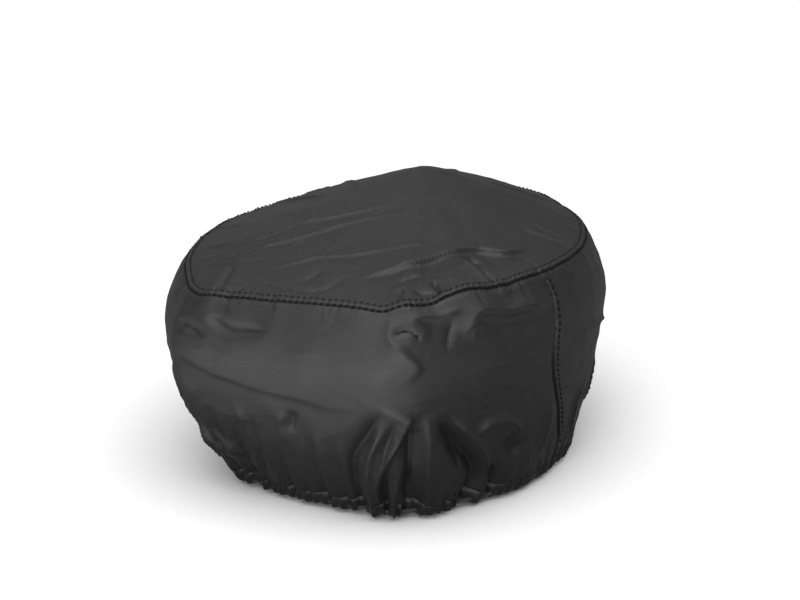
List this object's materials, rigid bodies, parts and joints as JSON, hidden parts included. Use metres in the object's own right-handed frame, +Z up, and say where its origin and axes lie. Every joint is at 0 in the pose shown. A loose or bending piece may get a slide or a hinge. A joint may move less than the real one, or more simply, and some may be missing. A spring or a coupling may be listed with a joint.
{
  "type": "tail bag",
  "caption": "Soft tail bag with a moulded shell and zipped lid, wearing a fitted dark rain cover with a seamed top panel, side seams and a gathered elastic hem.",
  "frame": {"origin": "on the ground under the middle of the bounding box", "axes": "+Z up, +Y towards the front of the motorcycle (the lid's hinge side), +X to the rider's right"},
  "size_m": [0.289, 0.35, 0.1855],
  "materials": {
    "cover_fabric": "thin coated woven polyester, charcoal, soft sheen",
    "seam_tape": "heat-applied waterproof tape",
    "hem_elastic": "elastic cord",
    "anti_slip_rubber": "ribbed anti-slip mat",
    "board_plastic": "stiffening sheet",
    "shell_fabric": "coarse woven nylon on moulded foam",
    "lining_fabric": "light grey polyester lining",
    "pocket_mesh": "open knitted mesh",
    "reflective_piping": "grey reflective piping",
    "webbing": "woven nylon webbing",
    "zip_coil": "nylon coil",
    "zip_metal": "satin zinc",
    "pull_rubber": "moulded pull",
    "grip_rubber": "soft moulded grip",
    "handle_plate": "moulded end plate",
    "rivet_metal": "satin rivet",
    "ring_steel": "black painted wire"
  },
  "bodies": {
    "bag_body": {"anti_slip_mat": "anti_slip_rubber", "base_board": "board_plastic", "body_shell": "shell_fabric", "body_lining": "lining_fabric", "lid_hinge_strip": "webbing", "zip_chain_lower": "zip_coil", "strap_tab_rear_left": "webbing", "strap_tab_rear_right": "webbing", "strap_tab_front_left": "webbing", "strap_tab_front_right": "webbing"},
    "rain_cover": {"cover_top_panel": "cover_fabric", "cover_rear_wall": "cover_fabric", "cover_front_wall": "cover_fabric", "cover_top_seam_tape": "seam_tape", "cover_side_seam_tape_left": "seam_tape", "cover_side_seam_tape_right": "seam_tape", "cover_hem_casing": "cover_fabric", "cover_hem_elastic": "hem_elastic"},
    "lid": {"lid_shell": "shell_fabric", "lid_lining": "lining_fabric", "lid_pocket_mesh": "pocket_mesh", "lid_pocket_elastic": "hem_elastic", "lid_reflective_piping": "reflective_piping", "zip_chain_upper": "zip_coil", "handle_grip": "grip_rubber", "handle_plate_rear": "handle_plate", "handle_plate_front": "handle_plate", "handle_rivet_rear_left": "rivet_metal", "handle_rivet_rear_right": "rivet_metal", "handle_rivet_front_left": "rivet_metal", "handle_rivet_front_right": "rivet_metal"},
    "zip_slider_left": {"zip_slider_left": "zip_metal"},
    "zip_slider_right": {"zip_slider_right": "zip_metal"},
    "zip_pull_left": {"zip_pull_left": "pull_rubber"},
    "zip_pull_right": {"zip_pull_right": "pull_rubber"},
    "strap_ring_rear_left": {"strap_ring_rear_left": "ring_steel"},
    "strap_ring_rear_right": {"strap_ring_rear_right": "ring_steel"},
    "strap_ring_front_left": {"strap_ring_front_left": "ring_steel"},
    "strap_ring_front_right": {"strap_ring_front_right": "ring_steel"}
  },
  "joints": [
    {"name": "rain_cover_lift", "type": "slide", "parent": "bag_body", "child": "rain_cover", "axis": [0, 0, 1], "range_m": [0, 0.45], "deforming": ["cover_top_panel", "cover_rear_wall", "cover_front_wall", "cover_top_seam_tape", "cover_side_seam_tape_left", "cover_side_seam_tape_right", "cover_hem_casing", "cover_hem_elastic"]},
    {"name": "lid_hinge", "type": "hinge", "parent": "bag_body", "child": "lid", "pos_m": [0, 0.1647, 0.0937], "axis": [-1, 0, 0], "range_deg": [0, 75], "deforming": ["lid_hinge_strip"]},
    {"name": "zip_slide_left", "type": "hinge", "parent": "bag_body", "child": "zip_slider_left", "pos_m": [0, 0.275, 0.0937], "axis": [0, 0, -1], "range_deg": [0, 8.5]},
    {"name": "zip_pull_left_swing", "type": "hinge", "parent": "zip_slider_left", "child": "zip_pull_left", "pos_m": [-0.00756, -0.16714, 0.0937], "axis": [-0.0171, -0.9999, 0], "range_deg": [-75, 10]},
    {"name": "zip_slide_right", "type": "hinge", "parent": "bag_body", "child": "zip_slider_right", "pos_m": [0, 0.275, 0.0937], "axis": [0, 0, 1], "range_deg": [0, 8.5]},
    {"name": "zip_pull_right_swing", "type": "hinge", "parent": "zip_slider_right", "child": "zip_pull_right", "pos_m": [0.00756, -0.16714, 0.0937], "axis": [0.0171, -0.9999, 0], "range_deg": [-10, 75]},
    {"name": "strap_ring_rear_left_swing", "type": "hinge", "parent": "bag_body", "child": "strap_ring_rear_left", "pos_m": [-0.05708, -0.14528, 0.05], "axis": [-0.9909, 0.1346, 0], "range_deg": [-20, 8]},
    {"name": "strap_ring_rear_right_swing", "type": "hinge", "parent": "bag_body", "child": "strap_ring_rear_right", "pos_m": [0.05708, -0.14528, 0.05], "axis": [-0.9909, -0.1346, 0], "range_deg": [-20, 8]},
    {"name": "strap_ring_front_left_swing", "type": "hinge", "parent": "bag_body", "child": "strap_ring_front_left", "pos_m": [-0.03401, 0.14676, 0.05], "axis": [0.982, 0.1889, 0], "range_deg": [-20, 8]},
    {"name": "strap_ring_front_right_swing", "type": "hinge", "parent": "bag_body", "child": "strap_ring_front_right", "pos_m": [0.03401, 0.14676, 0.05], "axis": [0.982, -0.1889, 0], "range_deg": [-20, 8]}
  ],
  "couplings": [
    {"joint": "lid_hinge", "follows": "rain_cover_lift", "rad_per_m": 2.9084}
  ]
}
